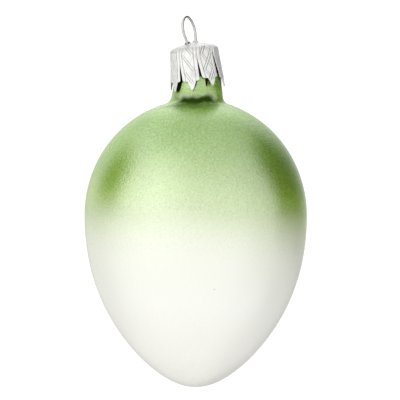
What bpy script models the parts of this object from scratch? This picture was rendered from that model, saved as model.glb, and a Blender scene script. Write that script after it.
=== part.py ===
# A hanging Easter egg ornament: a blown glass egg with its pointed end down, a stamped
# sheet-metal cap on the egg's neck, and a spring wire hanger.
#
# All sizes are in metres. The egg's own frame has its origin at the centre of the widest
# ring, the egg's axis along +Z, and the two wire holes of the cap side by side along X.
# The whole ornament is shifted so that the place where it hangs, the inside of the wire
# loop's top, is the world's origin.

import math

import bmesh
import bpy
from mathutils import Matrix, Vector

# Glass egg
EGG_RADIUS = 0.030
CROWN_HEIGHT = 0.0314  # from the widest ring to where the crown's ellipse would close
POINT_DEPTH = 0.0465  # from the widest ring down to the pointed end
POINT_SLIMMING = 0.205  # share of the ellipse's radius that is lost towards the pointed end
GLASS_WALL = 0.0008

# Glass neck, a slight cone that blends into the crown
NECK_MOUTH_HEIGHT = 0.0435
NECK_MOUTH_RADIUS = 0.0052
NECK_FOOT_HEIGHT = 0.0336
NECK_FOOT_RADIUS = 0.0067
NECK_FILLET = 0.0024
NECK_SHIFT = 0.0005  # how far the drawn neck stands off the egg's axis
NECK_SHIFT_TURN = -66.0
NECK_SHIFT_START = 0.027
NECK_SHIFT_END = 0.034

# Stamped cap, measured down from the top of its dome
SHEET = 0.00025
DOME_RADIUS = 0.0065
DOME_DEPTH = 0.0021
SHOULDER_DEPTH = 0.00975
TIP_DEPTH = 0.0121
RIM_RADIUS = 0.0073
CAP_PIVOT_HEIGHT = 0.0376  # where the leaning cap's axis crosses the neck's axis
CAP_TOP_ABOVE_PIVOT = 0.0089
CAP_SHIFT = 0.0003  # how far that crossing stands off the egg's axis, towards the neck's shift
CAP_LEAN = 6.3
CAP_LEAN_TURN = 114.0

# Petals of the cap, numbered round from the first slit
PETALS = 8
PETAL_PITCH = 360.0 / PETALS
FIRST_SLIT_TURN = 30.5
SLIT_TOP_HALF_WIDTH = 0.00008
SLIT_HALF_WIDTH = 0.00018
SLIT_FOOT_HALF_WIDTH = 0.00030
SLIT_CUT_REACH = 0.0016  # how far the cut goes in and out from the rim's radius
SLIT_TOP_DEPTHS = (0.0046, 0.0040, 0.0034, 0.0056, 0.0038, 0.0023, 0.0036, 0.0050)
TONGUE_ROOT_GAP = 0.00135
TONGUE_TIP_GAP = 0.00240
TONGUE_ROOT_FALL = 0.00015  # how much lower a shoulder is beside the tongue than at the slit
TONGUE_SKEW = 0.0003  # how far round from its root's middle a tongue's tip lies
PETAL_BEND_DEPTH = 0.0060
PETAL_FLARES = (0.0002, 0.00025, 0.0002, 0.0002, 0.0003, 0.0001, 0.0002, 0.0002)
PETAL_DROPS = (0.0001, -0.0001, 0.0002, 0.0002, -0.0005, 0.0003, 0.0, 0.0001)

# Wire holes of the cap, each pierced askew so that its inner side has a raised lip
HOLE_OFFSET = 0.00275
HOLE_SIDESTEP = 0.00045  # both holes lie a little behind the middle of the dome
HOLE_RADIUS = 0.00075
HOLE_TILT = 27.0
LIP_RADIUS = 0.00110
LIP_HEIGHT = 0.00020
LIP_ROOT = 0.00080

# Spring wire hanger
WIRE_RADIUS = 0.00035
LOOP_HALF_WIDTH = 0.00375
LOOP_WAIST_HEIGHT = 0.00315
LOOP_TOP_HEIGHT = 0.0074
LOOP_NARROWING = (0.00315, 0.0013)  # half width and height where the loop draws in
LOOP_UNDERSIDE = (0.00240, -0.0015)  # the same just under the cap
LOOP_ROCK = 6.0  # how far the loop leans back about the line through its holes
LEG_SPREAD = (
    (0.0032, 0.0422),
    (0.0036, 0.0384),
    (0.0044, 0.0350),
    (0.0049, 0.0318),
    (0.0056, 0.0290),
    (0.0068, 0.0272),
)  # distance from the neck's axis and height of points down each leg

# Mesh fineness
EGG_STEPS = 40
NECK_ROWS = 3
FILLET_ROWS = 5
CROWN_ROWS = 9
POINT_ROWS = 13
CAP_STEPS = 48
DOME_ROWS = 5
SKIRT_ROWS = 7
HOLE_STEPS = 16
LOOP_ARC_STEP = 30  # degrees between the points over the loop's top
WIRE_RINGS = 5  # between two points along the wire
WIRE_ROUNDING = 2
SEARCH_STEPS = 50
MERGE = 0.00001
SHARP_ANGLE = 35.0


def turned(angle):
    """Unit direction in the XY plane, angle in degrees from +X."""
    return Vector((math.cos(math.radians(angle)), math.sin(math.radians(angle)), 0.0))


def principled(name, colour, roughness, metallic):
    material = bpy.data.materials.new(name)
    material.use_nodes = True
    shader = material.node_tree.nodes["Principled BSDF"]
    shader.inputs["Base Color"].default_value = (*colour, 1.0)
    shader.inputs["Roughness"].default_value = roughness
    shader.inputs["Metallic"].default_value = metallic
    return material


def new_object(name, data, collection, parent):
    item = bpy.data.objects.new(name, data)
    collection.objects.link(item)
    item.parent = parent
    return item


def new_empty(name, collection, parent, matrix):
    empty = new_object(name, None, collection, parent)
    empty.matrix_basis = matrix
    return empty


def evaluated_mesh(item):
    bpy.context.view_layer.update()
    graph = bpy.context.evaluated_depsgraph_get()
    return bpy.data.meshes.new_from_object(item.evaluated_get(graph))


def freeze(item, moved):
    """Give an object its evaluated mesh, with each point moved by a function."""
    mesh = evaluated_mesh(item)
    for vertex in mesh.vertices:
        vertex.co = moved(vertex.co)
    item.modifiers.clear()
    item.data = mesh
    mesh.shade_smooth()
    mesh.set_sharp_from_angle(angle=math.radians(SHARP_ANGLE))


def turned_shell(name, outline, wall, steps, collection, parent):
    """Turn an open outline of radii and heights about Z and thicken it inward."""
    mesh = bpy.data.meshes.new(name)
    points = [(radius, 0.0, height) for radius, height in outline]
    edges = [(index, index + 1) for index in range(len(points) - 1)]
    mesh.from_pydata(points, edges, [])
    shell = new_object(name, mesh, collection, parent)
    screw = shell.modifiers.new("turn", "SCREW")
    screw.steps = steps
    screw.render_steps = steps
    screw.use_merge_vertices = True
    screw.merge_threshold = MERGE
    solidify = shell.modifiers.new("wall", "SOLIDIFY")
    solidify.thickness = wall
    solidify.offset = -1.0
    return shell


# Glass egg


def crown_point(angle):
    """Radius and height on the crown's ellipse, angle from the widest ring."""
    return Vector((EGG_RADIUS * math.cos(angle), CROWN_HEIGHT * math.sin(angle)))


def crown_normal(angle):
    return Vector((CROWN_HEIGHT * math.cos(angle), EGG_RADIUS * math.sin(angle))).normalized()


def neck_fillet(mouth, neck_normal):
    """Centre of the fillet that touches neck and crown, and its angle on the crown."""
    low = math.radians(45.0)
    high = math.radians(90.0)
    for _ in range(SEARCH_STEPS):
        angle = (low + high) / 2.0
        centre = crown_point(angle) + NECK_FILLET * crown_normal(angle)
        if (centre - mouth).dot(neck_normal) > NECK_FILLET:
            low = angle
        else:
            high = angle
    return centre, angle


def egg_outline():
    mouth = Vector((NECK_MOUTH_RADIUS, NECK_MOUTH_HEIGHT))
    foot = Vector((NECK_FOOT_RADIUS, NECK_FOOT_HEIGHT))
    along = (foot - mouth).normalized()
    neck_normal = Vector((-along.y, along.x))
    centre, crown_top = neck_fillet(mouth, neck_normal)

    fillet_start = centre - NECK_FILLET * neck_normal
    outline = [mouth.lerp(fillet_start, row / NECK_ROWS) for row in range(NECK_ROWS)]
    first = neck_normal.angle_signed(Vector((1.0, 0.0)))
    last = crown_normal(crown_top).angle_signed(Vector((1.0, 0.0)))
    for row in range(FILLET_ROWS):
        angle = first + (last - first) * row / FILLET_ROWS
        outline.append(centre - NECK_FILLET * Vector((math.cos(angle), math.sin(angle))))
    for row in range(CROWN_ROWS):
        outline.append(crown_point(crown_top * (1.0 - row / CROWN_ROWS)))
    for row in range(POINT_ROWS + 1):
        depth = math.sin(math.radians(90.0) * row / POINT_ROWS)
        radius = EGG_RADIUS * math.sqrt(max(0.0, 1.0 - depth**2)) * (1.0 - POINT_SLIMMING * depth**3)
        outline.append(Vector((radius, -POINT_DEPTH * depth)))
    return outline


def with_neck_shift(point):
    """Move a point of the neck off the egg's axis, eased in over the crown."""
    reach = (point.z - NECK_SHIFT_START) / (NECK_SHIFT_END - NECK_SHIFT_START)
    reach = min(max(reach, 0.0), 1.0)
    eased = reach * reach * (3.0 - 2.0 * reach)
    return point + NECK_SHIFT * eased * turned(NECK_SHIFT_TURN)


def make_glass_egg(collection, parent):
    egg = turned_shell("glass_egg", egg_outline(), GLASS_WALL, EGG_STEPS, collection, parent)
    freeze(egg, with_neck_shift)
    egg.data.materials.append(principled("pearl_glass", (0.80, 0.88, 0.70), 0.30, 0.0))
    return egg


# Cap


def dome_drop(radius):
    """Depth below the dome's top of its outer face at a radius."""
    return DOME_DEPTH * (1.0 - math.sqrt(max(0.0, 1.0 - (radius / DOME_RADIUS) ** 2)))


def cap_outline():
    outline = []
    for row in range(DOME_ROWS + 1):
        radius = DOME_RADIUS * math.sin(math.radians(90.0) * row / DOME_ROWS)
        outline.append((radius, -dome_drop(radius)))
    for row in range(1, SKIRT_ROWS + 1):
        part = row / SKIRT_ROWS
        radius = DOME_RADIUS + (RIM_RADIUS - DOME_RADIUS) * part
        outline.append((radius, -(DOME_DEPTH + (TIP_DEPTH - DOME_DEPTH) * part)))
    return outline


def slit_outline(top_depth):
    """Closed outline of a slit and the gap below it, between two petals' tongues."""
    right = [
        (SLIT_TOP_HALF_WIDTH, -top_depth),
        (SLIT_HALF_WIDTH, -(top_depth + SHOULDER_DEPTH) / 2.0),
        (SLIT_FOOT_HALF_WIDTH, -(SHOULDER_DEPTH - SHEET)),
        (SLIT_FOOT_HALF_WIDTH + SHEET, -SHOULDER_DEPTH),
        (TONGUE_ROOT_GAP, -(SHOULDER_DEPTH + TONGUE_ROOT_FALL)),
        (TONGUE_TIP_GAP + TONGUE_SKEW, -TIP_DEPTH),
        (TONGUE_TIP_GAP + TONGUE_SKEW, -(TIP_DEPTH + 2.0 * SHEET)),
    ]
    left = [(-across, height) for across, height in right[:-2]]
    left.append((TONGUE_SKEW - TONGUE_TIP_GAP, -TIP_DEPTH))
    left.append((TONGUE_SKEW - TONGUE_TIP_GAP, -(TIP_DEPTH + 2.0 * SHEET)))
    return right + left[::-1]


def make_slit_cutter(index, collection, parent):
    """A flat outline, extruded through the skirt at the slit's place round the cap."""
    curve = bpy.data.curves.new("slit_cutter", "CURVE")
    curve.dimensions = "2D"
    curve.fill_mode = "BOTH"
    curve.extrude = SLIT_CUT_REACH
    points = slit_outline(SLIT_TOP_DEPTHS[index])
    spline = curve.splines.new("POLY")
    spline.points.add(len(points) - 1)
    for corner, (across, height) in zip(spline.points, points):
        corner.co = (across, height, 0.0, 1.0)
    spline.use_cyclic_u = True
    flat = new_object("slit_outline", curve, collection, None)

    mesh = evaluated_mesh(flat)
    bpy.data.objects.remove(flat)
    solid = bmesh.new()
    solid.from_mesh(mesh)
    bmesh.ops.remove_doubles(solid, verts=solid.verts, dist=MERGE)
    solid.to_mesh(mesh)
    solid.free()

    outward = turned(FIRST_SLIT_TURN + PETAL_PITCH * index)
    up = Vector((0.0, 0.0, 1.0))
    turn = Matrix((up.cross(outward), up, outward)).transposed().to_4x4()
    cutter = new_object(f"slit_cutter_{index}", mesh, collection, parent)
    cutter.matrix_basis = Matrix.Translation(RIM_RADIUS * outward) @ turn
    return cutter


def hole_place(side):
    """Middle of a wire hole on the dome's outer face."""
    across = math.hypot(HOLE_OFFSET, HOLE_SIDESTEP)
    return Vector((side * HOLE_OFFSET, HOLE_SIDESTEP, -dome_drop(across)))


def make_hole_cylinder(name, side, radius, top, bottom, collection, parent):
    """A cylinder along the axis of one wire hole, measured from the dome's face."""
    mesh = bpy.data.meshes.new(name)
    solid = bmesh.new()
    bmesh.ops.create_cone(
        solid,
        cap_ends=True,
        segments=HOLE_STEPS,
        radius1=radius,
        radius2=radius,
        depth=top - bottom,
        matrix=Matrix.Translation((0.0, 0.0, (top + bottom) / 2.0)),
    )
    solid.to_mesh(mesh)
    solid.free()
    cylinder = new_object(name, mesh, collection, parent)
    tilt = Matrix.Rotation(math.radians(side * HOLE_TILT), 4, "Y")
    cylinder.matrix_basis = Matrix.Translation(hole_place(side)) @ tilt
    return cylinder


def combine(item, tool, operation):
    boolean = item.modifiers.new(tool.name, "BOOLEAN")
    boolean.operation = operation
    boolean.solver = "EXACT"
    boolean.object = tool
    tool.hide_render = True
    tool.display_type = "WIRE"


def with_petal_set(point):
    """Move a point of a petal by that petal's own flare and drop, most at the tip."""
    reach = (-point.z - PETAL_BEND_DEPTH) / (TIP_DEPTH - PETAL_BEND_DEPTH)
    if reach <= 0.0:
        return point
    turn = math.degrees(math.atan2(point.y, point.x))
    petal = int((turn - FIRST_SLIT_TURN) % 360.0 // PETAL_PITCH)
    drop = Vector((0.0, 0.0, -PETAL_DROPS[petal]))
    return point + reach**2 * PETAL_FLARES[petal] * turned(turn) + reach * drop


def make_cap(collection, cutters, parent):
    cap = turned_shell("cap", cap_outline(), SHEET, CAP_STEPS, collection, parent)
    for side, word in ((-1.0, "near"), (1.0, "far")):
        lip = make_hole_cylinder(
            f"lip_{word}", side, LIP_RADIUS, LIP_HEIGHT, -LIP_ROOT, cutters, parent
        )
        combine(cap, lip, "UNION")
        bore = make_hole_cylinder(
            f"bore_{word}", side, HOLE_RADIUS, 2.0 * LIP_ROOT, -2.0 * LIP_ROOT, cutters, parent
        )
        combine(cap, bore, "DIFFERENCE")
    for index in range(PETALS):
        combine(cap, make_slit_cutter(index, cutters, parent), "DIFFERENCE")
    freeze(cap, with_petal_set)
    cap.data.materials.append(principled("silver_sheet", (0.86, 0.86, 0.85), 0.28, 1.0))
    return cap


# Wire hanger


def loop_points():
    """The loop from under its left hole over the top to under its right hole."""
    foot = (HOLE_OFFSET, hole_place(1.0).z)
    rise = LOOP_TOP_HEIGHT - LOOP_WAIST_HEIGHT
    right = [(LOOP_HALF_WIDTH, LOOP_WAIST_HEIGHT), LOOP_NARROWING, foot, LOOP_UNDERSIDE]
    left = [(-across, height) for across, height in reversed(right)]
    over = []
    for angle in range(180 - LOOP_ARC_STEP, 0, -LOOP_ARC_STEP):
        across = LOOP_HALF_WIDTH * math.cos(math.radians(angle))
        over.append((across, LOOP_WAIST_HEIGHT + rise * math.sin(math.radians(angle))))
    return [Vector((across, 0.0, height)) for across, height in left + over + right]


def leg_points(side):
    """One leg, from just under the cap down inside the neck to its splayed end."""
    axis = NECK_SHIFT * turned(NECK_SHIFT_TURN)
    return [axis + Vector((side * spread, 0.0, height)) for spread, height in LEG_SPREAD]


def make_wire_hanger(collection, parent, loop_frame):
    route = list(reversed(leg_points(-1.0)))
    route += [loop_frame @ point for point in loop_points()]
    route += leg_points(1.0)
    curve = bpy.data.curves.new("wire_hanger", "CURVE")
    curve.dimensions = "3D"
    curve.resolution_u = WIRE_RINGS
    curve.bevel_depth = WIRE_RADIUS
    curve.bevel_resolution = WIRE_ROUNDING
    curve.use_fill_caps = True
    spline = curve.splines.new("BEZIER")
    spline.bezier_points.add(len(route) - 1)
    for knot, place in zip(spline.bezier_points, route):
        knot.co = place
        knot.handle_left_type = "AUTO"
        knot.handle_right_type = "AUTO"
    hanger = new_object("wire_hanger", curve, collection, parent)
    curve.materials.append(principled("spring_wire", (0.62, 0.62, 0.60), 0.25, 1.0))
    return hanger


# Frames and assembly


def cap_frame_matrix():
    """Top of the cap's dome in the egg's frame, leaning with the cap."""
    pivot = Vector((0.0, 0.0, CAP_PIVOT_HEIGHT)) + CAP_SHIFT * turned(NECK_SHIFT_TURN)
    hinge = Vector((0.0, 0.0, 1.0)).cross(turned(CAP_LEAN_TURN))
    lean = Matrix.Rotation(math.radians(CAP_LEAN), 4, hinge)
    return Matrix.Translation(pivot) @ lean @ Matrix.Translation((0.0, 0.0, CAP_TOP_ABOVE_PIVOT))


def main():
    for item in list(bpy.data.objects):
        bpy.data.objects.remove(item, do_unlink=True)
    ornament = bpy.data.collections.new("easter_egg_ornament")
    cutters = bpy.data.collections.new("cutters")
    bpy.context.scene.collection.children.link(ornament)
    bpy.context.scene.collection.children.link(cutters)

    cap_matrix = cap_frame_matrix()
    sidestep = Matrix.Translation((0.0, HOLE_SIDESTEP, 0.0))
    loop_matrix = cap_matrix @ sidestep @ Matrix.Rotation(math.radians(-LOOP_ROCK), 4, "X")
    hanging_point = loop_matrix @ Vector((0.0, 0.0, LOOP_TOP_HEIGHT - WIRE_RADIUS))

    egg_frame = new_empty("egg_frame", ornament, None, Matrix.Translation(-hanging_point))
    cap_frame = new_empty("cap_frame", ornament, egg_frame, cap_matrix)
    make_glass_egg(ornament, egg_frame)
    make_cap(ornament, cutters, cap_frame)
    make_wire_hanger(ornament, egg_frame, loop_matrix)
    bpy.context.view_layer.update()


main()
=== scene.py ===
# A hanging glass Easter egg: pearl white, sprayed satin green round its neck, under a stamped
# silver cap with petals, on a wire loop. All lengths are in metres, in the frame's own axes.

import math

import bmesh
import bpy
import numpy as np
from mathutils import Matrix, Vector, noise


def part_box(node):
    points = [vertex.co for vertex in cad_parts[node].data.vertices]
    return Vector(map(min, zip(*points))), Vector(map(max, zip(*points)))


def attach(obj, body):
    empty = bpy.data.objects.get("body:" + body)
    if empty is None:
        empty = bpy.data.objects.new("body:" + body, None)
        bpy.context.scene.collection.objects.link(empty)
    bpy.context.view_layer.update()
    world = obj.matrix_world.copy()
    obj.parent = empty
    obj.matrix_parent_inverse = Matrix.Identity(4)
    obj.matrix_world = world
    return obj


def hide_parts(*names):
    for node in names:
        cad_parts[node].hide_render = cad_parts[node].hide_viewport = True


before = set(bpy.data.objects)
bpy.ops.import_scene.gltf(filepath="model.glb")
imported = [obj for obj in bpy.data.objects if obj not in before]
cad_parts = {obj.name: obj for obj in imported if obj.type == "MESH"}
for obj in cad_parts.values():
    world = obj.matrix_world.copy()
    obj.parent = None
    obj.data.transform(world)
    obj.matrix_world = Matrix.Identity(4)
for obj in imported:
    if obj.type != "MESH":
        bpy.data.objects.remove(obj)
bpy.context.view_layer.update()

MM = 0.001

# Glass egg, as it is built in the frame
EGG_RADIUS = 0.030
CROWN_HEIGHT = 0.0314
POINT_DEPTH = 0.0465
POINT_SLIMMING = 0.205
GLASS_WALL = 0.0008
NECK_MOUTH_HEIGHT = 0.0435
NECK_MOUTH_RADIUS = 0.0052
NECK_FOOT_HEIGHT = 0.0336
NECK_FOOT_RADIUS = 0.0067
NECK_FILLET = 0.0024
NECK_SHIFT = 0.0005
NECK_SHIFT_TURN = -66.0
NECK_SHIFT_START = 0.027
NECK_SHIFT_END = 0.034

# Cap, as it is built in the frame, measured down from the top of its dome
SHEET = 0.00025
DOME_RADIUS = 0.0065
DOME_DEPTH = 0.0021
SHOULDER_AT_SLIT = 0.0096
TIP_DEPTH = 0.0121
RIM_RADIUS = 0.0073
CAP_PIVOT_HEIGHT = 0.0376
CAP_TOP_ABOVE_PIVOT = 0.0089
CAP_SHIFT = 0.0003
CAP_LEAN = 6.3
CAP_LEAN_TURN = 114.0
PETALS = 8
PETAL_PITCH = 360.0 / PETALS
FIRST_SLIT_TURN = 30.5
SLIT_TOP_DEPTHS = (0.0046, 0.0040, 0.0034, 0.0050, 0.0038, 0.0023, 0.0036, 0.0050)
PETAL_BEND_DEPTH = 0.0060
PETAL_FLARES = (0.0002, 0.00025, 0.0002, 0.0002, 0.0003, 0.0001, 0.0002, 0.0002)
PETAL_DROPS = (0.0001, -0.0001, 0.0002, 0.0002, -0.0005, 0.0003, 0.0, 0.0001)
HOLE_OFFSET = 0.00275
HOLE_SIDESTEP = 0.00045
HOLE_RADIUS = 0.00075

# Wire hanger, as it is built in the frame
WIRE_RADIUS = 0.00035
LOOP_HALF_WIDTH = 0.00375
LOOP_WAIST_HEIGHT = 0.00315
LOOP_TOP_HEIGHT = 0.0073
LOOP_NARROWING = (0.00315, 0.0013)
LOOP_UNDERSIDE = (0.00240, -0.0015)
LOOP_ROCK = 6.0
LOOP_ARC_STEP = 30
LEG_SPREAD = (
    (0.0032, 0.0422),
    (0.0036, 0.0384),
    (0.0044, 0.0350),
    (0.0049, 0.0318),
    (0.0056, 0.0290),
    (0.0068, 0.0272),
)

# Camera: where the photograph was taken from, and its scale at the egg's widest ring
CAMERA_AZIMUTH = -66.0
CAMERA_ELEVATION = 4.0
CAMERA_DISTANCE = 0.9
FRAME_PIXELS = 400
PIXEL = 0.00026978
RING_PIXEL = (195.7, 215.5)
SENSOR_MM = 36.0


def turned(angle):
    """Unit direction in the XY plane, angle in degrees from +X."""
    return Vector((math.cos(math.radians(angle)), math.sin(math.radians(angle)), 0.0))


egg_low, egg_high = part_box("glass_egg")
EGG_CENTRE = Vector(
    ((egg_low.x + egg_high.x) / 2.0, (egg_low.y + egg_high.y) / 2.0, egg_high.z - NECK_MOUTH_HEIGHT)
)


def cap_frame_matrix():
    """Top of the cap's dome, leaning with the cap."""
    pivot = Vector((0.0, 0.0, CAP_PIVOT_HEIGHT)) + CAP_SHIFT * turned(NECK_SHIFT_TURN)
    hinge = Vector((0.0, 0.0, 1.0)).cross(turned(CAP_LEAN_TURN))
    lean = Matrix.Rotation(math.radians(CAP_LEAN), 4, hinge)
    rise = Matrix.Translation((0.0, 0.0, CAP_TOP_ABOVE_PIVOT))
    return Matrix.Translation(EGG_CENTRE + pivot) @ lean @ rise


CAP_MATRIX = cap_frame_matrix()


# Meshes


def smoothstep(low, high, value):
    part = np.clip((value - low) / (high - low), 0.0, 1.0)
    return part * part * (3.0 - 2.0 * part)


def bump_at(distance, width):
    """A bell curve of height 1 and the given half width."""
    return np.exp(-((distance / width) ** 2))


def grid_faces(rows, columns, start=0, closed=False):
    """Quads of a grid of points that are numbered row by row."""
    row, column = np.mgrid[0 : rows - 1, 0 : columns if closed else columns - 1]
    after = (column + 1) % columns
    corners = (row * columns + column, row * columns + after, (row + 1) * columns + after)
    corners += ((row + 1) * columns + column,)
    return (np.stack(corners, axis=-1).reshape(-1, 4) + start).tolist()


def clean_mesh(mesh, merge=0.0):
    """Join points that lie closer than merge, and turn every face outward."""
    solid = bmesh.new()
    solid.from_mesh(mesh)
    if merge:
        bmesh.ops.remove_doubles(solid, verts=solid.verts, dist=merge)
    bmesh.ops.recalc_face_normals(solid, faces=solid.faces)
    solid.to_mesh(mesh)
    solid.free()


def mesh_object(name, points, faces):
    mesh = bpy.data.meshes.new(name)
    mesh.from_pydata(np.asarray(points).tolist(), [], faces)
    clean_mesh(mesh)
    mesh.shade_smooth()
    item = bpy.data.objects.new(name, mesh)
    bpy.context.scene.collection.objects.link(item)
    return item


def apply_modifiers(item):
    bpy.context.view_layer.update()
    graph = bpy.context.evaluated_depsgraph_get()
    mesh = bpy.data.meshes.new_from_object(item.evaluated_get(graph))
    item.modifiers.clear()
    item.data = mesh


# Shader graphs


class Graph:
    """Short calls that add nodes to a node tree and return their output sockets."""

    def __init__(self, tree):
        self.tree = tree

    def add(self, kind, inputs=None, **settings):
        node = self.tree.nodes.new(kind)
        for key, value in settings.items():
            setattr(node, key, value)
        for key, value in (inputs or {}).items():
            self.feed(node.inputs[key], value)
        return node

    def feed(self, socket, value):
        if isinstance(value, bpy.types.NodeSocket):
            self.tree.links.new(value, socket)
        else:
            socket.default_value = value

    def math(self, operation, *values):
        node = self.add("ShaderNodeMath", operation=operation)
        for socket, value in zip(node.inputs, values):
            self.feed(socket, value)
        return node.outputs[0]

    def times(self, *values):
        product = values[0]
        for value in values[1:]:
            product = self.math("MULTIPLY", product, value)
        return product

    def vector(self, operation, first, second=None):
        """Result of a vector operation, as a number where it gives one."""
        inputs = {0: first} if second is None else {0: first, 1: second}
        node = self.add("ShaderNodeVectorMath", inputs, operation=operation)
        return node.outputs["Value" if operation in ("DOT_PRODUCT", "DISTANCE") else "Vector"]

    def scaled(self, colour, factor):
        node = self.add("ShaderNodeVectorMath", {0: colour, "Scale": factor}, operation="SCALE")
        return node.outputs["Vector"]

    def step(self, value, low, high, bottom=0.0, top=1.0, smooth=True):
        """Value moved from low..high to bottom..top, eased and held at both ends."""
        kind = "SMOOTHSTEP" if smooth else "LINEAR"
        node = self.add("ShaderNodeMapRange", interpolation_type=kind)
        for socket, number in zip(node.inputs, (value, low, high, bottom, top)):
            self.feed(socket, number)
        return node.outputs[0]

    def mix(self, factor, first, second):
        node = self.add("ShaderNodeMix", data_type="RGBA")
        self.feed(node.inputs["Factor"], factor)
        self.feed(node.inputs[6], first)
        self.feed(node.inputs[7], second)
        return node.outputs[2]

    def blend(self, factor, first, second):
        node = self.add("ShaderNodeMix", data_type="FLOAT")
        self.feed(node.inputs[0], factor)
        self.feed(node.inputs[2], first)
        self.feed(node.inputs[3], second)
        return node.outputs[0]

    def noise(self, place, scale, detail):
        inputs = {"Vector": place, "Scale": scale, "Detail": detail, "Roughness": 0.5}
        return self.add("ShaderNodeTexNoise", inputs).outputs["Fac"]

    def wander(self, place, scale, reach):
        """A slow drift of up to reach either way."""
        return self.step(self.noise(place, scale, 1.0), 0.3, 0.7, -reach, reach, smooth=False)

    def bump(self, height, strength, depth):
        inputs = {"Height": height, "Strength": strength, "Distance": depth}
        return self.add("ShaderNodeBump", inputs).outputs["Normal"]

    def ramp(self, factor, stops):
        """Colour from a list of (position, colour) stops."""
        node = self.add("ShaderNodeValToRGB", {"Fac": factor})
        elements = node.color_ramp.elements
        while len(elements) < len(stops):
            elements.new(1.0)
        for element, (position, colour) in zip(elements, stops):
            element.position = position
            element.color = (*colour, 1.0)
        return node.outputs["Color"]


def new_material(name, levels):
    """A material with its graph and shader, whose sockets are set to levels."""
    material = bpy.data.materials.new(name)
    material.use_nodes = True
    shader = material.node_tree.nodes["Principled BSDF"]
    for socket, level in levels.items():
        shader.inputs[socket].default_value = level
    return material, Graph(material.node_tree), shader


# Glass egg


def neck_fillet(mouth, neck_normal):
    """Centre of the fillet that touches neck and crown, and its angle on the crown."""
    low, high = math.radians(45.0), math.radians(90.0)
    for _ in range(50):
        angle = (low + high) / 2.0
        centre = crown_point(angle) + NECK_FILLET * crown_normal(angle)
        if (centre - mouth).dot(neck_normal) > NECK_FILLET:
            low = angle
        else:
            high = angle
    return centre, angle


def crown_point(angle):
    return Vector((EGG_RADIUS * math.cos(angle), CROWN_HEIGHT * math.sin(angle)))


def crown_normal(angle):
    return Vector((CROWN_HEIGHT * math.cos(angle), EGG_RADIUS * math.sin(angle))).normalized()


def point_radius(depth):
    """Radius towards the pointed end, depth from 0 at the widest ring to 1 at the tip."""
    return EGG_RADIUS * math.sqrt(max(0.0, 1.0 - depth**2)) * (1.0 - POINT_SLIMMING * depth**3)


def egg_outline(neck_rows, fillet_rows, crown_rows, point_rows):
    """Radius and height from the mouth down the outside to the pointed end."""
    mouth = Vector((NECK_MOUTH_RADIUS, NECK_MOUTH_HEIGHT))
    foot = Vector((NECK_FOOT_RADIUS, NECK_FOOT_HEIGHT))
    along = (foot - mouth).normalized()
    neck_normal = Vector((-along.y, along.x))
    centre, crown_top = neck_fillet(mouth, neck_normal)
    fillet_start = centre - NECK_FILLET * neck_normal
    outline = [mouth.lerp(fillet_start, row / neck_rows) for row in range(neck_rows)]
    first = neck_normal.angle_signed(Vector((1.0, 0.0)))
    last = crown_normal(crown_top).angle_signed(Vector((1.0, 0.0)))
    for row in range(fillet_rows):
        angle = first + (last - first) * row / fillet_rows
        outline.append(centre - NECK_FILLET * Vector((math.cos(angle), math.sin(angle))))
    for row in range(crown_rows):
        outline.append(crown_point(crown_top * (1.0 - row / crown_rows)))
    for row in range(point_rows + 1):
        depth = math.sin(math.radians(90.0) * row / point_rows)
        outline.append(Vector((point_radius(depth), -POINT_DEPTH * depth)))
    return outline


def inset(outline, distance):
    """The same outline moved inward by the glass wall's thickness."""
    moved = []
    for index, point in enumerate(outline):
        before = outline[max(index - 1, 0)]
        after = outline[min(index + 1, len(outline) - 1)]
        along = (after - before).normalized()
        moved.append(point + distance * Vector((along.y, -along.x)))
    moved[-1] = Vector((0.0, outline[-1].y + distance))
    return moved


EGG_STEPS = 224
OUTER_ROWS = (22, 22, 62, 84)  # rows of neck, fillet, crown and pointed end
INNER_ROWS = (6, 6, 14, 20)
LIP_ROWS = (0.75, 0.25)  # rows across the mouth's rim, from the inside to the outside
LIP_RISE = Vector((0.0, 0.0001))
GLASS_WAVE = 0.00005  # how far the blown wall wanders from a true turned shape
GLASS_WAVE_SIZE = 0.018


def turned_points(outline, steps):
    turn = np.radians(np.arange(steps) * 360.0 / steps)
    radius, height = np.array(outline).T
    across = radius[:, None] * np.cos(turn)
    deep = radius[:, None] * np.sin(turn)
    return np.stack((across, deep, np.repeat(height[:, None], steps, 1)), -1).reshape(-1, 3)


def make_egg():
    outer = egg_outline(*OUTER_ROWS)
    inner = inset(egg_outline(*INNER_ROWS), GLASS_WALL)
    lip = [outer[0].lerp(inner[0], part) + LIP_RISE for part in LIP_ROWS]
    rows = inner[-2::-1] + lip + outer[:-1]
    points = turned_points(rows, EGG_STEPS)
    faces = grid_faces(len(rows), EGG_STEPS, closed=True)
    last_row = (len(rows) - 1) * EGG_STEPS
    ends = (len(points), len(points) + 1)
    points = np.vstack((points, (0.0, 0.0, inner[-1].y), (0.0, 0.0, outer[-1].y)))
    for step in range(EGG_STEPS):
        after = (step + 1) % EGG_STEPS
        faces.append((after, step, ends[0]))
        faces.append((last_row + step, last_row + after, ends[1]))
    reach = smoothstep(NECK_SHIFT_START, NECK_SHIFT_END, points[:, 2])
    shift = NECK_SHIFT * np.array(turned(NECK_SHIFT_TURN))
    points = points + reach[:, None] * shift
    for point in points:
        place = Vector(point)
        outward = Vector((place.x, place.y, 0.0)) / EGG_RADIUS
        wave = noise.noise(place / GLASS_WAVE_SIZE)
        point += np.array(outward * GLASS_WAVE * wave)
    egg = mesh_object("egg", points + np.array(EGG_CENTRE), faces)
    egg.data.materials.append(egg_paint())
    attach(egg, "root")
    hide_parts("glass_egg")


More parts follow.
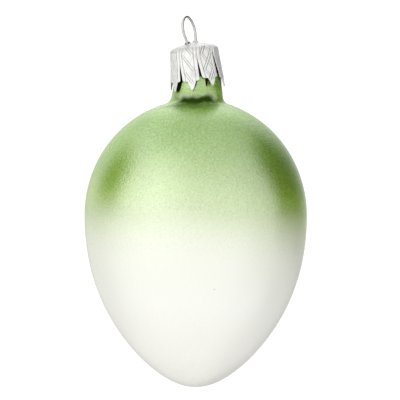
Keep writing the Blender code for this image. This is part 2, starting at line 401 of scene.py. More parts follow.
# The paint. Its colour, its share of metal and the strength of the satin glaze over it are
# given by height over the egg's widest ring, as (height, value) stops.
SPRAY_LOW, SPRAY_HIGH = -0.047, 0.036  # heights that all stops lie between
DRIFT_SCALE = 45.0
DRIFT_REACH = 0.0010
SPRAY_LEAN = 0.085  # rise of the sprayed levels towards one side
SPRAY_LEAN_TURN = 0.0
SPRAY_LEVEL = 0.0023
LIT_SIDE_TURN = 114.0  # the side where the green is painted brighter, as painted light
LIT_SIDE_REACH = (0.012, 0.024)  # how far out on that side the painted light grows
LIT_SIDE_HEIGHTS = (0.0, 0.010)  # from no green to full green
LIT_SIDE_GAIN = 0.32
PAINT_STOPS = (
    # The two lowest stops darken the pearl towards the pointed end: painted shade.
    (-0.0460, (0.46, 0.44, 0.38)),
    (-0.0415, (0.62, 0.605, 0.535)),
    (-0.0340, (0.70, 0.69, 0.62)),
    (-0.0212, (0.715, 0.725, 0.64)),
    (-0.0095, (0.678, 0.705, 0.57)),
    (-0.0046, (0.62, 0.67, 0.47)),
    (-0.0021, (0.55, 0.63, 0.37)),
    (0.0003, (0.465, 0.572, 0.25)),
    (0.0028, (0.37, 0.492, 0.14)),
    (0.0052, (0.31, 0.485, 0.062)),
    (0.0076, (0.285, 0.465, 0.03)),
    (0.0100, (0.25, 0.43, 0.018)),
    (0.0124, (0.235, 0.41, 0.014)),
    (0.0194, (0.195, 0.37, 0.012)),
    (0.0263, (0.172, 0.345, 0.013)),
    (0.0295, (0.20, 0.385, 0.03)),
    (0.0318, (0.21, 0.39, 0.04)),
    (0.0334, (0.27, 0.43, 0.09)),
    (0.0352, (0.26, 0.43, 0.07)),
)
METAL_STOPS = (
    (-0.0100, 0.05),
    (-0.0010, 0.08),
    (0.0030, 0.16),
    (0.0085, 0.54),
    (0.0150, 0.72),
    (0.0290, 0.70),
    (0.0308, 0.25),
    (0.0335, 0.25),
)
GLAZE_STOPS = (
    (0.0060, 1.0),
    (0.0100, 0.90),
    (0.0124, 0.80),
    (0.0147, 0.71),
    (0.0194, 0.54),
    (0.0263, 0.42),
    (0.0298, 0.52),
    (0.0314, 0.85),
    (0.0328, 0.30),
)
EGG_LEVELS = {
    "Specular IOR Level": 0.0,
    "Coat IOR": 4.3,
    "Coat Roughness": 0.23,
    "Sheen Weight": 0.14,
    "Sheen Roughness": 0.35,
}
PAINT_ROUGHNESS = 0.50
PEEL_STRENGTH = 0.5
PEEL_DEPTH = 0.00013  # fine unevenness of the dried coats
FINE_GRAIN, COARSE_GRAIN = 4200.0, 2000.0
GRAIN_FADE = (-0.014, 0.005)  # heights between which the grain gains its full strength
GRAIN_ON_PEARL = 0.06  # its strength on the white under those heights
GRAIN_SWING = 0.006  # how far a grain of spray reaches out of its height's colour
GRAIN_CONTRAST = 0.5
GRAIN_LIGHT = 0.32  # how much paler the palest grains are, in every colour alike
GLAZE_CONTRAST = 0.2  # how much the glaze varies from grain to grain

NECK_HEIGHTS = (0.0320, 0.0345)  # where the egg's paint gives way to the neck's
NECK_COLOUR = (0.235, 0.42, 0.045)
NECK_METAL = 0.55
NECK_ROUGHNESS = 0.30
NECK_SHINE = (0.14, 0.46)  # glaze at the neck's sides and on its front
NECK_SHINE_REACH = (0.0044, 0.0057)

# Near-black painted shade on the neck under the cap's skirt and beside the tongues, with no glaze
CAP_SHADE_COLOUR = (0.012, 0.016, 0.004)
CAP_SHADE_EDGE = (0.0002, 0.0010)  # how far over a petal's lower corners the painted shade begins
TONGUE_SHADOWS = (  # painted shadows and reflections beside the tongues: turn, half width, and how far down it reaches
    (156.0, 14.0, 0.0036),
    (-157.0, 5.5, 0.0024),
    (-129.5, 4.5, 0.0028),
    (-74.0, 15.0, 0.0036),
)
SPECKS = (  # dust caught in the paint, from the egg's centre
    (-0.02114, 0.00333, 0.02199),
    (-0.00421, -0.01900, 0.02389),
    (-0.02387, -0.00630, 0.01785),
    (-0.02272, -0.01554, -0.01743),
)
SPECK_RADIUS = 0.00018
SPECK_SHADE = 0.5

# Painted shade in the hollow between neck and shoulder, on the egg's front: dark paint with little
# metal and no glaze
FRONT_TURN = -156.0
HOLLOW_SHADE_LOW, HOLLOW_SHADE_HIGH = 0.0294, 0.0318
HOLLOW_SHADE_SOFTNESS = 0.0010
HOLLOW_SHADE_WANDER_SCALE = 420.0
HOLLOW_SHADE_WANDER = 0.0002
HOLLOW_SHADE_REACH = (0.0046, 0.0062)  # how far out in front it begins and is full
HOLLOW_SHADE_COLOUR = (0.020, 0.046, 0.001)
HOLLOW_SHADE_METAL = 0.1


def height_ramp(graph, height, stops):
    span = SPRAY_HIGH - SPRAY_LOW
    part = graph.step(height, SPRAY_LOW, SPRAY_HIGH, smooth=False)
    return graph.ramp(part, [((place - SPRAY_LOW) / span, colour) for place, colour in stops])


def height_levels(graph, height, stops):
    grey = [(place, (level, level, level)) for place, level in stops]
    return height_ramp(graph, height, grey)


def painted_hollow_shade(graph, place, height):
    """How much painted shade lies in the hollow round the foot of the neck, on its front."""
    height = graph.math("ADD", height, graph.wander(place, HOLLOW_SHADE_WANDER_SCALE, HOLLOW_SHADE_WANDER))
    above = graph.step(height, HOLLOW_SHADE_LOW - HOLLOW_SHADE_SOFTNESS, HOLLOW_SHADE_LOW + HOLLOW_SHADE_SOFTNESS)
    below = graph.step(height, HOLLOW_SHADE_HIGH - HOLLOW_SHADE_SOFTNESS, HOLLOW_SHADE_HIGH + HOLLOW_SHADE_SOFTNESS, 1.0, 0.0)
    front = graph.vector("DOT_PRODUCT", place, turned(FRONT_TURN))
    return graph.times(above, below, graph.step(front, *HOLLOW_SHADE_REACH))


def painted_cap_shade(graph, place):
    """1 where the neck is painted near black as shade under the cap's skirt, and as shadows and
    reflections beside the tongues.
    """
    top = CAP_MATRIX.translation - EGG_CENTRE
    up = CAP_MATRIX.to_3x3() @ Vector((0.0, 0.0, 1.0))
    rise = graph.vector("DOT_PRODUCT", place, up)
    level = graph.vector("NORMALIZE", graph.vector("MULTIPLY", place, (1.0, 1.0, 0.0)))
    for turn, half_width, drop in TONGUE_SHADOWS:
        facing = graph.vector("DOT_PRODUCT", level, turned(turn))
        side = math.cos(math.radians(half_width))
        rise = graph.math("ADD", rise, graph.step(facing, side, 1.0, 0.0, drop))
    edge = top.dot(up) - SHOULDER_AT_SLIT
    return graph.step(rise, edge + CAP_SHADE_EDGE[0], edge + CAP_SHADE_EDGE[1])


def specks_at(graph, place, points, radius):
    """1 on each of the small specks, 0 elsewhere."""
    found = 0.0
    for point in points:
        away = graph.vector("DISTANCE", place, point)
        speck = graph.step(away, 0.5 * radius, 1.5 * radius, 1.0, 0.0)
        found = graph.math("MAXIMUM", found, speck)
    return found


def spray_grain(graph, place):
    """Fine and coarse grains of dried spray, 0.5 on average."""
    fine = graph.noise(place, FINE_GRAIN, 0.0)
    coarse = graph.noise(place, COARSE_GRAIN, 0.0)
    return graph.math("ADD", graph.times(fine, 0.5), graph.times(coarse, 0.5))


def sprayed_colour(graph, place, height, spread):
    """Pearl and green at the height that the leaning spray reached."""
    lean = graph.vector("DOT_PRODUCT", place, SPRAY_LEAN * turned(SPRAY_LEAN_TURN))
    sprayed = graph.math("ADD", graph.math("ADD", height, lean), SPRAY_LEVEL)
    sprayed = graph.math("ADD", sprayed, graph.times(spread, GRAIN_SWING))
    return height_ramp(graph, sprayed, PAINT_STOPS)


def shaded(graph, place, height, paint, grain):
    """The paint, painted brighter on one side as painted light and on its pale grains, darker under
    dust.
    """
    side = graph.vector("DOT_PRODUCT", place, turned(LIT_SIDE_TURN))
    # Painted light: the paint is made brighter on one side of the egg.
    lit_side = graph.step(side, *LIT_SIDE_REACH, 0.0, LIT_SIDE_GAIN)
    lit_side = graph.times(lit_side, graph.step(height, *LIT_SIDE_HEIGHTS))
    shade = graph.math("ADD", 1.0, graph.times(grain, GRAIN_CONTRAST))
    shade = graph.math("ADD", shade, lit_side)
    dust = graph.times(specks_at(graph, place, SPECKS, SPECK_RADIUS), SPECK_SHADE)
    paint = graph.scaled(paint, graph.math("SUBTRACT", shade, dust))
    paint = graph.vector("ADD", paint, graph.times(grain, GRAIN_LIGHT))
    return graph.vector("MAXIMUM", paint, (0.0, 0.0, 0.0))


def glaze_weight(graph, place, height, neck, grain):
    front = graph.vector("DOT_PRODUCT", place, turned(FRONT_TURN))
    shine = graph.step(front, *NECK_SHINE_REACH, *NECK_SHINE)
    glaze = graph.blend(neck, height_levels(graph, height, GLAZE_STOPS), shine)
    return graph.times(glaze, graph.math("ADD", 1.0, graph.times(grain, GLAZE_CONTRAST)))


def egg_paint():
    """Pearl white under metallic green spray, all under a satin glaze, with painted shade round and
    under the cap.
    """
    material, graph, shader = new_material("pearl_and_green_paint", EGG_LEVELS)
    place = graph.add("ShaderNodeTexCoord").outputs["Object"]
    place = graph.vector("SUBTRACT", place, EGG_CENTRE)
    height = graph.add("ShaderNodeSeparateXYZ", {0: place}).outputs["Z"]
    height = graph.math("ADD", height, graph.wander(place, DRIFT_SCALE, DRIFT_REACH))
    grain = spray_grain(graph, place)
    spread = graph.math("SUBTRACT", grain, 0.5)
    visible = graph.times(spread, graph.step(height, *GRAIN_FADE, GRAIN_ON_PEARL, 1.0))
    neck = graph.step(height, *NECK_HEIGHTS)
    # Painted shade: dark paint in the hollow at the neck's foot, on the front.
    hollow_shade = painted_hollow_shade(graph, place, height)
    # Painted shade under the cap's skirt, with painted shadows and reflections beside the tongues.
    cap_shade = painted_cap_shade(graph, place)

    paint = sprayed_colour(graph, place, height, spread)
    paint = graph.mix(neck, paint, (*NECK_COLOUR, 1.0))
    paint = shaded(graph, place, height, paint, visible)
    paint = graph.mix(hollow_shade, paint, (*HOLLOW_SHADE_COLOUR, 1.0))
    graph.feed(shader.inputs["Base Color"], graph.mix(cap_shade, paint, (*CAP_SHADE_COLOUR, 1.0)))

    metal = graph.blend(neck, height_levels(graph, height, METAL_STOPS), NECK_METAL)
    graph.feed(shader.inputs["Metallic"], graph.blend(hollow_shade, metal, HOLLOW_SHADE_METAL))
    graph.feed(shader.inputs["Roughness"], graph.blend(neck, PAINT_ROUGHNESS, NECK_ROUGHNESS))
    glaze = glaze_weight(graph, place, height, neck, visible)
    glaze = graph.times(glaze, graph.math("SUBTRACT", 1.0, cap_shade))
    graph.feed(shader.inputs["Coat Weight"], graph.blend(hollow_shade, glaze, 0.0))
    peel = graph.bump(grain, PEEL_STRENGTH, PEEL_DEPTH)
    graph.feed(shader.inputs["Normal"], peel)
    graph.feed(shader.inputs["Coat Normal"], peel)
    return material


# Cap

PETAL_COLUMNS = 48
SKIRT_ROWS = 54
TONGUE_ROWS = 13
TONGUE_COLUMNS = (15, 38)  # columns of a petal that run on into its tongue
TONGUE_TIP_TURNS = (1.2, 7.2)  # sides of a tongue's tip, in degrees from the petal's middle
TONGUE_ROUNDING = 0.00045
TONGUE_TAPER = 1.15
DOME_MIDDLE_ROWS = (0.00005, 0.0004, 0.0008, 0.0012)  # lengths along the sheet
DOME_HOLE_ROWS = (0.0016, 0.0041, 0.000135)  # from, to and step, close together at the holes
DOME_RIM_ROWS = (0.0042, 0.0001, 0.00016)  # from, short of the rim by, and step
WELD = 0.000004
SLIT_SKEWS = (600.0, 500.0, 600.0, 500.0, 600.0, 1100.0, 500.0, 600.0)  # degrees a metre
SLIT_SKEW_DEPTH = 0.0055
SLIT_SKEW_START, SLIT_SKEW_END = 0.0015, 0.0035
SLIT_HALF_WIDTHS = ((0.0, 0.0022, 0.0045, 0.006), (0.0, 0.00017, 0.00028, 0.00042))
SLIT_SCALES = (1.0, 1.1, 1.0, 1.6, 1.15, 1.5, 1.0, 0.9)
SHOULDER_AT_TONGUE = 0.0098
SHOULDER_ROUNDING = 0.0003
SHOULDER_REACH = 9.0  # degrees from a slit to where a petal's lower edge runs level
SHOULDER_CORNER = 3.5  # how much nearer the slit its corner is rounded

# Stamped pattern: two diamonds, one above the other, on each petal
CROSSING_DEPTH = 0.0051
DIAMOND_HALF_HEIGHT = 0.0022
DIAMOND_HALF_WIDTH = 0.00140
DIAMOND_SKEW = 550.0  # degrees a metre, the way the slits lean too
PATTERN_SHIFTS = (0.0, 0.0001, 0.0, 0.00012, -0.00012, 0.0001, 0.0, -0.0001)
PATTERN_TURNS = (0.5, 0.0, 1.0, 0.0, 1.5, 0.5, -0.5, 1.0)
LINE_STRENGTHS = (  # of the lines that fall and of those that rise to the right, petal by petal
    (0.9, 0.8), (0.8, 0.9), (0.5, 0.7), (1.0, 0.35), (0.9, 2.0), (0.35, 0.4), (0.9, 0.8), (0.8, 0.9),
)
RIB_HEIGHT = 0.00007
RIB_WIDTH = 0.00014
GROOVE_OFFSET = 0.00030
GROOVE_DEPTH = 0.00010
GROOVE_WIDTH = 0.00009
BORDER_OFFSET = 0.00092
BORDER_DEPTH = 0.00009
BORDER_WIDTH = 0.00012
HEM_OFFSET = 0.0005
HEM_HEIGHT = 0.6 * BORDER_DEPTH
HEM_WIDTH = 0.00025
PATTERN_END = (0.0112, 0.0098)  # where the pattern is gone and where it starts to fade
PLEAT_DEPTH = 0.00018
PLEAT_WIDTH = 0.00022
PLEAT_FADE = (0.0015, -0.0005)  # depths under the slit's top where it is gone and is full
PLEAT_SHADE = 0.3  # how much painted shade a pleat gets next to a groove as deep
PATTERN_TOP_RADIUS = 0.0046
PATTERN_TOP_FADE = 0.0012
DENT = 0.00009
DENT_SIZE = 0.0032

BURR_HEIGHT = 0.00050
BURR_LEAN = 0.00028  # how much higher a torn lip is on the side of the dome's middle
BURR_REACH = 0.00028

# Silver
SILVER = (0.775, 0.77, 0.755, 1.0)
TARNISHED_SILVER = (0.68, 0.67, 0.65, 1.0)
GROOVE_SHADE_AND_PIT_COLOUR = (0.24, 0.24, 0.23, 1.0)
GROOVE_SHADE_AND_PIT_SHARE = 0.85
DOME_PAINTED_SHADE = (0.8, 2.6, 0.72, 1.0)  # painted shade on the dome's top: from and to these millimetres down the sheet, by this much
CROSS_CUT_SLANT = 1.6
CROSS_CUT_PITCH = 15.0
CAP_SPECKS = (  # pits of tarnish, from the egg's centre
    (-0.00597, 0.00346, 0.03468),
    (-0.00610, 0.00400, 0.03480),
    (-0.00067, -0.00620, 0.04421),
    (0.00106, -0.00632, 0.04286),
    (-0.00014, -0.00714, 0.03923),
    (0.00192, -0.00768, 0.03526),
)
CAP_SPECK_RADIUS = 0.00016


def dome_profile():
    """Radius, depth and length along the sheet from the rim, for rows over the dome."""
    angle = np.radians(np.linspace(0.0, 90.0, 400))
    radius = DOME_RADIUS * np.sin(angle)
    depth = DOME_DEPTH * (1.0 - np.cos(angle))
    steps = np.hypot(np.diff(radius), np.diff(depth))
    length = np.concatenate(([0.0], np.cumsum(steps)))
    first, short, step = DOME_RIM_ROWS
    rim_rows = np.arange(first, length[-1] - short, step)
    wanted = np.concatenate((DOME_MIDDLE_ROWS, np.arange(*DOME_HOLE_ROWS), rim_rows))
    rim_distance = length[-1] - wanted
    return np.interp(wanted, length, radius), np.interp(wanted, length, depth), rim_distance


def slit_turn(index, depth):
    """Where a slit's middle line runs round the cap, in degrees, at each depth."""
    skew = SLIT_SKEWS[index % PETALS] * (depth - SLIT_SKEW_DEPTH)
    skew = skew * smoothstep(SLIT_SKEW_START, SLIT_SKEW_END, depth)
    return FIRST_SLIT_TURN + PETAL_PITCH * index + skew


def slit_opening(index, depth):
    """Half the slit's width at each depth."""
    below = depth - SLIT_TOP_DEPTHS[index % PETALS]
    return SLIT_SCALES[index % PETALS] * np.interp(below, *SLIT_HALF_WIDTHS, left=0.0)


def skirt_radius(depth):
    fall = (depth - DOME_DEPTH) / (TIP_DEPTH - DOME_DEPTH)
    return DOME_RADIUS + (RIM_RADIUS - DOME_RADIUS) * fall


def degree_length(radius):
    """Length of one degree round the cap, kept over 0 in the dome's middle."""
    return np.maximum(radius, 0.001) * math.radians(1.0)


def diamond_wave(depth):
    """0 where the two lines cross, 1 at a diamond's side corners."""
    phase = (depth - CROSSING_DEPTH) / DIAMOND_HALF_HEIGHT
    return 1.0 - np.abs(np.mod(np.abs(phase), 2.0) - 1.0)


def stamped_height(petal, across, from_left, from_right, along):
    """Height of the stamped pattern, from lengths in the sheet."""
    shape = DIAMOND_HALF_WIDTH * diamond_wave(along - PATTERN_SHIFTS[petal])
    slant = math.cos(math.atan2(DIAMOND_HALF_WIDTH, DIAMOND_HALF_HEIGHT))
    upper = np.mod((along - CROSSING_DEPTH) / DIAMOND_HALF_HEIGHT, 2.0) < 1.0
    height = np.zeros_like(across)
    for side in (-1.0, 1.0):
        falls = upper if side > 0.0 else ~upper
        strength = np.where(falls, *LINE_STRENGTHS[petal])
        off_line = np.abs(across - side * shape) * slant
        height = height + strength * RIB_HEIGHT * bump_at(off_line, RIB_WIDTH)
        groove = GROOVE_DEPTH * bump_at(off_line - GROOVE_OFFSET, GROOVE_WIDTH)
        height = height - strength * groove
    for off_edge in (from_left, from_right):
        height = height - BORDER_DEPTH * bump_at(off_edge - BORDER_OFFSET, BORDER_WIDTH)
        height = height + HEM_HEIGHT * bump_at(off_edge - HEM_OFFSET, HEM_WIDTH)
    return height * smoothstep(*PATTERN_END, along)


def pleat_height(petal, from_left, from_right, depth):
    """A folded valley that runs on above each slit."""
    height = np.zeros_like(depth)
    for slit, off_edge in ((petal, from_left), (petal + 1, from_right)):
        top = SLIT_TOP_DEPTHS[slit % PETALS]
        fade = smoothstep(top + PLEAT_FADE[0], top + PLEAT_FADE[1], depth)
        height = height - PLEAT_DEPTH * bump_at(off_edge, PLEAT_WIDTH) * fade
    return height


def petal_grid(petal):
    """Depth, length along the sheet, radius and turn at each point of one petal's outer face
    with its share of the dome, and the turns of its two slit edges."""
    dome_radius, dome_depth, rim_distance = dome_profile()
    part = np.linspace(0.0, 1.0, PETAL_COLUMNS + 1)
    off_slit = np.minimum(part, 1.0 - part) * PETAL_PITCH / SHOULDER_REACH
    shoulder = SHOULDER_AT_SLIT + (SHOULDER_AT_TONGUE - SHOULDER_AT_SLIT) * np.clip(off_slit, 0, 1)
    corner = np.clip(1.0 - off_slit * SHOULDER_CORNER, 0.0, 1.0)
    shoulder = shoulder - SHOULDER_ROUNDING * corner**2
    skirt = np.linspace(0.0, 1.0, SKIRT_ROWS)[:, None]
    skirt_depth = DOME_DEPTH + (shoulder[None, :] - DOME_DEPTH) * skirt

    def whole(dome, below):
        """Rows of the dome, each the same all across, over the rows of the skirt."""
        return np.vstack((np.repeat(dome[:, None], PETAL_COLUMNS + 1, 1), below))

    depth = whole(dome_depth, skirt_depth)
    along = whole(DOME_DEPTH - rim_distance, skirt_depth)
    radius = whole(dome_radius, skirt_radius(skirt_depth))
    arc = degree_length(radius)
    left = slit_turn(petal, depth) + slit_opening(petal, depth) / arc
    right = slit_turn(petal + 1, depth) - slit_opening(petal + 1, depth) / arc
    turn = left + (right - left) * part
    return depth, along, radius, turn, left, right


def tongue_grid(petal, root_depth, root_turn):
    """Depths and turns of the tongue's rows below its root."""
    columns = root_depth.shape[0]
    across = np.linspace(-1.0, 1.0, columns)
    middle = FIRST_SLIT_TURN + PETAL_PITCH * (petal + 0.5)
    tip = middle + np.linspace(*TONGUE_TIP_TURNS, columns)
    tip_depth = TIP_DEPTH - TONGUE_ROUNDING * across**2
    down = np.linspace(0.0, 1.0, TONGUE_ROWS + 1)[1:, None]
    depth = root_depth + (tip_depth - root_depth) * down
    turn = root_turn + (tip - root_turn) * down**TONGUE_TAPER
    return depth, turn


def sheet_points(petal, depth, along, radius, turn, left, right):
    """Points of the outer face in the cap's frame, and how much painted shade each gets from lying
    deep in a groove.
    """
    arc = degree_length(radius)
    middle = FIRST_SLIT_TURN + PETAL_PITCH * (petal + 0.5) + PATTERN_TURNS[petal]
    middle = middle + DIAMOND_SKEW * (depth - CROSSING_DEPTH)
    across = (turn - middle) * arc
    from_left = (turn - left) * arc
    from_right = (right - turn) * arc
    fade = smoothstep(PATTERN_TOP_RADIUS, PATTERN_TOP_RADIUS + PATTERN_TOP_FADE, radius)
    stamp = stamped_height(petal, across, from_left, from_right, along) * fade
    pleat = pleat_height(petal, from_left, from_right, depth) * fade
    raised = stamp + pleat
    slope = np.clip(1.0 - depth / DOME_DEPTH, 0.0, 1.0)
    outward = np.sqrt(1.0 - slope**2)
    reach = np.clip((depth - PETAL_BEND_DEPTH) / (TIP_DEPTH - PETAL_BEND_DEPTH), 0.0, None)
    radius = radius + raised * outward + reach**2 * PETAL_FLARES[petal]
    height = -depth + raised * slope - reach * PETAL_DROPS[petal]
    angle = np.radians(turn)
    points = np.stack((radius * np.cos(angle), radius * np.sin(angle), height), -1)
    sheet = np.stack((across / MM, along / MM), -1)
    # Painted shade in the grooves and pleats, by how deep each point lies.
    groove_shade = np.clip(-(stamp + PLEAT_SHADE * pleat) / GROOVE_DEPTH, 0.0, 1.0)
    return points.reshape(-1, 3), sheet.reshape(-1, 2), groove_shade.ravel()


def petal_mesh(petal, start):
    depth, along, radius, turn, left, right = petal_grid(petal)
    points, sheet, groove_shade = sheet_points(petal, depth, along, radius, turn, left, right)
    rows, columns = depth.shape
    faces = grid_faces(rows, columns, start)
    first, last = TONGUE_COLUMNS
    chosen = slice(first, last + 1)
    root_depth, root_turn = depth[-1, chosen], turn[-1, chosen]
    tongue_depth, tongue_turn = tongue_grid(petal, root_depth, root_turn)
    tongue_radius = skirt_radius(tongue_depth)
    edges = (left[-1, chosen], right[-1, chosen])
    more = sheet_points(petal, tongue_depth, tongue_depth, tongue_radius, tongue_turn, *edges)
    width = last - first + 1
    below = start + rows * columns
    root = start + (rows - 1) * columns + first
    for column in range(width - 1):
        faces.append((root + column, root + column + 1, below + column + 1, below + column))
    faces += grid_faces(TONGUE_ROWS, width, below)
    points = np.vstack((points, more[0]))
    return points, np.vstack((sheet, more[1])), np.concatenate((groove_shade, more[2])), faces


def pierce(points, faces):
    """Leave out the faces inside the two wire holes, and raise a torn lip round each."""
    keep = np.ones(len(faces), bool)
    corners = np.array(faces)
    for side in (-1.0, 1.0):
        middle = np.array((side * HOLE_OFFSET, HOLE_SIDESTEP))
        away = points[:, :2] - middle
        distance = np.linalg.norm(away, axis=1)
        inside = distance < HOLE_RADIUS
        keep &= ~inside[corners].all(axis=1)
        scale = np.where(inside, HOLE_RADIUS / np.maximum(distance, 0.00001), 1.0)
        points[:, :2] = middle + away * scale[:, None]
        distance = np.maximum(distance, HOLE_RADIUS)
        inward = -side * away[:, 0] / np.maximum(distance, 0.00001)
        lip = BURR_HEIGHT + BURR_LEAN * inward
        points[:, 2] += lip * np.exp(-(distance - HOLE_RADIUS) / BURR_REACH)
    return [face for face, kept in zip(faces, keep) if kept]


def make_cap():
    points, sheets, groove_shades, faces = [], [], [], []
    start = 0
    for petal in range(PETALS):
        petal_points, sheet, groove_shade, petal_faces = petal_mesh(petal, start)
        points.append(petal_points)
        sheets.append(sheet)
        groove_shades.append(groove_shade)
        faces += petal_faces
        start += len(petal_points)
    points, sheets, groove_shades = np.vstack(points), np.vstack(sheets), np.concatenate(groove_shades)
    faces = pierce(points, faces)
    for point in points:
        place = Vector(point)
        outward = Vector((place.x, place.y, 0.0)).normalized()
        point += np.array(outward * DENT * noise.noise(place / DENT_SIZE))
    cap = mesh_object("cap", points, faces)
    mesh = cap.data
    corner_points = np.zeros(len(mesh.loops), int)
    mesh.loops.foreach_get("vertex_index", corner_points)
    layer = mesh.uv_layers.new(name="sheet")
    layer.data.foreach_set("uv", sheets[corner_points].ravel())
    mesh.attributes.new("groove_shade", "FLOAT", "POINT").data.foreach_set("value", groove_shades)
    clean_mesh(mesh, WELD)
    wall = cap.modifiers.new("wall", "SOLIDIFY")
    wall.thickness = SHEET
    wall.offset = -1.0
    wall.material_offset = 1
    cap.data.materials.append(cap_silver())
    cap.data.materials.append(cap_inside())
    apply_modifiers(cap)
    cap.data.transform(CAP_MATRIX)
    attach(cap, "root")
    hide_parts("cap")


def cap_silver():
    """Bright stamped sheet with painted shade in its grooves and on its dome, dark pits of tarnish,
    and a fine cross-cut in its surface.
    """
    material, graph, shader = new_material("stamped_silver_sheet", {"Metallic": 0.38})
    place = graph.add("ShaderNodeTexCoord").outputs["Object"]
    groove_shade = graph.add("ShaderNodeAttribute", attribute_name="groove_shade").outputs["Fac"]
    tarnish = graph.step(graph.noise(place, 420.0, 3.0), 0.45, 0.7)
    colour = graph.mix(tarnish, SILVER, TARNISHED_SILVER)
    from_centre = graph.vector("SUBTRACT", place, EGG_CENTRE)
    pits = specks_at(graph, from_centre, CAP_SPECKS, CAP_SPECK_RADIUS)
    # Painted shade in the grooves, and dark pits of tarnish.
    groove_shade_and_pits = graph.times(graph.math("MAXIMUM", groove_shade, pits), GROOVE_SHADE_AND_PIT_SHARE)
    colour = graph.mix(groove_shade_and_pits, colour, GROOVE_SHADE_AND_PIT_COLOUR)
    sheet = graph.add("ShaderNodeUVMap", uv_map="sheet").outputs["UV"]
    across, along, _ = graph.add("ShaderNodeSeparateXYZ", {0: sheet}).outputs
    # Painted shade on the dome, fading out down the shoulder.
    colour = graph.scaled(colour, graph.step(along, *DOME_PAINTED_SHADE))
    graph.feed(shader.inputs["Base Color"], colour)
    graph.feed(shader.inputs["Roughness"], graph.step(tarnish, 0.0, 1.0, 0.34, 0.44, smooth=False))
    cuts = []
    for sign in ("ADD", "SUBTRACT"):
        slanted = graph.math(sign, along, graph.times(across, CROSS_CUT_SLANT))
        cuts.append(graph.math("SINE", graph.times(slanted, CROSS_CUT_PITCH)))
    cut = graph.math("MAXIMUM", *cuts)
    graph.feed(shader.inputs["Normal"], graph.bump(cut, 0.2, 0.00001))
    return material


def cap_inside():
    """The sheet's unpolished inner face, painted dark in patches as the shade inside the cap."""
    levels = {"Metallic": 1.0, "Roughness": 0.5}
    material, graph, shader = new_material("painted_shade_sheet_inside", levels)
    place = graph.add("ShaderNodeTexCoord").outputs["Object"]
    patchy_shade = graph.step(graph.noise(place, 600.0, 3.0), 0.35, 0.65)
    colour = graph.mix(patchy_shade, (0.16, 0.155, 0.14, 1.0), (0.09, 0.09, 0.08, 1.0))
    graph.feed(shader.inputs["Base Color"], colour)
    return material


# Wire hanger


def loop_points():
    """The loop from under its left hole over the top to under its right hole."""
    across = math.hypot(HOLE_OFFSET, HOLE_SIDESTEP)
    drop = DOME_DEPTH * (1.0 - math.sqrt(1.0 - (across / DOME_RADIUS) ** 2))
    rise = LOOP_TOP_HEIGHT - LOOP_WAIST_HEIGHT
    foot = (HOLE_OFFSET, -drop)
    right = [(LOOP_HALF_WIDTH, LOOP_WAIST_HEIGHT), LOOP_NARROWING, foot, LOOP_UNDERSIDE]
    left = [(-across, height) for across, height in reversed(right)]
    over = []
    for angle in range(180 - LOOP_ARC_STEP, 0, -LOOP_ARC_STEP):
        across = LOOP_HALF_WIDTH * math.cos(math.radians(angle))
        over.append((across, LOOP_WAIST_HEIGHT + rise * math.sin(math.radians(angle))))
    return [Vector((across, 0.0, height)) for across, height in left + over + right]


def leg_points(side):
    axis = EGG_CENTRE + NECK_SHIFT * turned(NECK_SHIFT_TURN)
    return [axis + Vector((side * spread, 0.0, height)) for spread, height in LEG_SPREAD]


def make_hanger():
    sidestep = Matrix.Translation((0.0, HOLE_SIDESTEP, 0.0))
    loop_frame = CAP_MATRIX @ sidestep @ Matrix.Rotation(math.radians(-LOOP_ROCK), 4, "X")
    route = list(reversed(leg_points(-1.0)))
    route += [loop_frame @ point for point in loop_points()]
    route += leg_points(1.0)
    curve = bpy.data.curves.new("hanger", "CURVE")
    curve.dimensions = "3D"
    curve.resolution_u = 14
    curve.bevel_depth = WIRE_RADIUS
    curve.bevel_resolution = 6
    curve.use_fill_caps = True
    spline = curve.splines.new("BEZIER")
    spline.bezier_points.add(len(route) - 1)
    for knot, place in zip(spline.bezier_points, route):
        knot.co = place
        knot.handle_left_type = "AUTO"
        knot.handle_right_type = "AUTO"
    hanger = bpy.data.objects.new("hanger", curve)
    bpy.context.scene.collection.objects.link(hanger)
    curve.materials.append(wire_steel())
    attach(hanger, "root")
    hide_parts("wire_hanger")


def wire_steel():
    """Drawn spring wire, a little dull in patches, with fine drawing marks."""
    material, graph, shader = new_material("drawn_steel_wire", {"Metallic": 1.0})
    place = graph.add("ShaderNodeTexCoord").outputs["Object"]
    dull = graph.step(graph.noise(place, 900.0, 2.0), 0.4, 0.65)
    colour = graph.mix(dull, (0.58, 0.58, 0.56, 1.0), (0.50, 0.50, 0.48, 1.0))
    graph.feed(shader.inputs["Base Color"], colour)
    graph.feed(shader.inputs["Roughness"], graph.step(dull, 0.0, 1.0, 0.26, 0.36, smooth=False))
    marks = graph.noise(place, 9000.0, 2.0)
    graph.feed(shader.inputs["Normal"], graph.bump(marks, 0.3, 0.00001))
    return material


# Studio

FLOOR_DROP = 1.0
FLOOR_RADIUS = 0.45
STUDIO_STRENGTH = 1.15
FLOOR_LEVELS = {"Base Color": (0.94, 0.94, 0.93, 1.0), "Roughness": 0.9}


def make_floor():
    lowest = EGG_CENTRE.z - POINT_DEPTH - FLOOR_DROP
    mesh = bpy.data.meshes.new("floor")
    solid = bmesh.new()
    bmesh.ops.create_circle(solid, cap_ends=True, segments=96, radius=FLOOR_RADIUS)
    solid.to_mesh(mesh)
    solid.free()
    floor = bpy.data.objects.new("floor", mesh)
    floor.location = (0.0, 0.0, lowest)
    bpy.context.scene.collection.objects.link(floor)
    mesh.materials.append(new_material("pale_floor", FLOOR_LEVELS)[0])


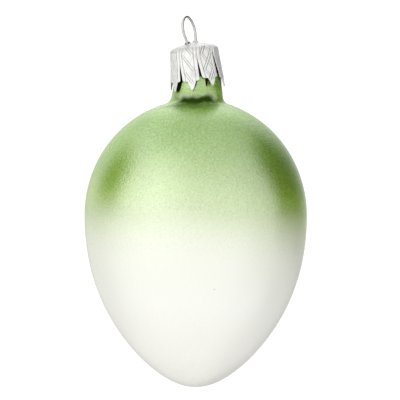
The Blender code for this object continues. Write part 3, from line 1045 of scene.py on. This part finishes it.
# Parts of the studio that are darker or brighter than the rest: azimuth to the right of the
# camera, half width, softness, lowest and highest elevation, softness, and gain
STUDIO_PARTS = (
    (116.0, 24.0, 10.0, -9.0, 36.0, 10.0, -1.0),
    (117.0, 22.0, 10.0, 24.0, 45.0, 8.0, -1.0),
    (140.0, 17.0, 11.0, -10.0, 24.0, 12.0, -0.82),
    (126.0, 30.0, 16.0, -100.0, -8.0, 12.0, -0.22),
    (132.0, 34.0, 16.0, -38.0, -4.0, 12.0, -0.16),
    (168.0, 16.0, 10.0, -48.0, 2.0, 12.0, -0.44),
    (-172.0, 12.0, 10.0, -36.0, 6.0, 12.0, -0.34),
    (178.0, 14.0, 10.0, 8.0, 24.0, 10.0, 0.16),
    (114.0, 36.0, 18.0, 48.0, 68.0, 10.0, -0.16),
    (80.0, 20.0, 18.0, -26.0, 38.0, 12.0, -0.22),
    (86.0, 30.0, 18.0, -70.0, -14.0, 12.0, -0.06),
    (-110.0, 18.0, 10.0, 5.0, 38.0, 10.0, -0.96),
    (-72.0, 24.0, 14.0, 34.0, 60.0, 10.0, 0.10),
    (-140.0, 50.0, 26.0, -100.0, 18.0, 16.0, -0.10),
    (-146.0, 36.0, 24.0, -34.0, 24.0, 12.0, -0.20),
    (-172.0, 15.0, 10.0, 8.0, 40.0, 10.0, 0.75),
    (-46.0, 22.0, 30.0, -6.0, 64.0, 22.0, 0.48),
    (-128.0, 44.0, 26.0, 40.0, 64.0, 10.0, 0.38),
    (180.0, 25.0, 14.0, 26.0, 64.0, 10.0, 0.74),
)


def make_studio():
    world = bpy.data.worlds.new("studio")
    bpy.context.scene.world = world
    world.use_nodes = True
    graph = Graph(world.node_tree)
    background = world.node_tree.nodes["Background"]
    view = graph.add("ShaderNodeTexCoord").outputs["Generated"]

    rightward = graph.vector("DOT_PRODUCT", view, turned(CAMERA_AZIMUTH))
    towards_camera = graph.vector("DOT_PRODUCT", view, turned(CAMERA_AZIMUTH - 90.0))
    upward = graph.vector("DOT_PRODUCT", view, (0.0, 0.0, 1.0))
    azimuth = graph.times(graph.math("ARCTAN2", rightward, towards_camera), math.degrees(1.0))
    elevation = graph.times(graph.math("ARCSINE", upward), math.degrees(1.0))
    light = 1.0
    for centre, half_width, edge, lowest, highest, softness, gain in STUDIO_PARTS:
        away = graph.math("ABSOLUTE", graph.math("SUBTRACT", azimuth, centre))
        part = graph.step(away, half_width - edge, half_width + edge, gain, 0.0)
        above = graph.step(elevation, lowest - softness, lowest + softness)
        below = graph.step(elevation, highest - softness, highest + softness, 1.0, 0.0)
        light = graph.times(light, graph.math("ADD", 1.0, graph.times(part, above, below)))
    seen = graph.add("ShaderNodeLightPath").outputs["Is Camera Ray"]
    light = graph.times(graph.blend(seen, light, 1.0), STUDIO_STRENGTH)
    graph.feed(background.inputs["Strength"], light)
    background.inputs["Color"].default_value = (1.0, 1.0, 1.0, 1.0)


def make_camera():
    elevation = math.radians(CAMERA_ELEVATION)
    right = turned(CAMERA_AZIMUTH)
    back = turned(CAMERA_AZIMUTH - 90.0) * math.cos(elevation)
    back.z = math.sin(elevation)
    up = back.cross(right)
    middle = FRAME_PIXELS / 2.0
    target = EGG_CENTRE + right * (middle - RING_PIXEL[0]) * PIXEL
    target += up * (RING_PIXEL[1] - middle) * PIXEL
    data = bpy.data.cameras.new("camera")
    data.sensor_width = SENSOR_MM
    data.lens = SENSOR_MM * CAMERA_DISTANCE / (FRAME_PIXELS * PIXEL)
    data.clip_start = 0.01
    data.clip_end = 50.0
    camera = bpy.data.objects.new("camera", data)
    camera.matrix_world = Matrix.Translation(target + back * CAMERA_DISTANCE) @ Matrix(
        (right, up, back)
    ).transposed().to_4x4()
    bpy.context.scene.collection.objects.link(camera)
    bpy.context.scene.camera = camera


make_camera()
make_egg()
make_cap()
make_hanger()
make_floor()
make_studio()
bpy.context.scene.view_settings.view_transform = "Standard"

bpy.context.view_layer.update()
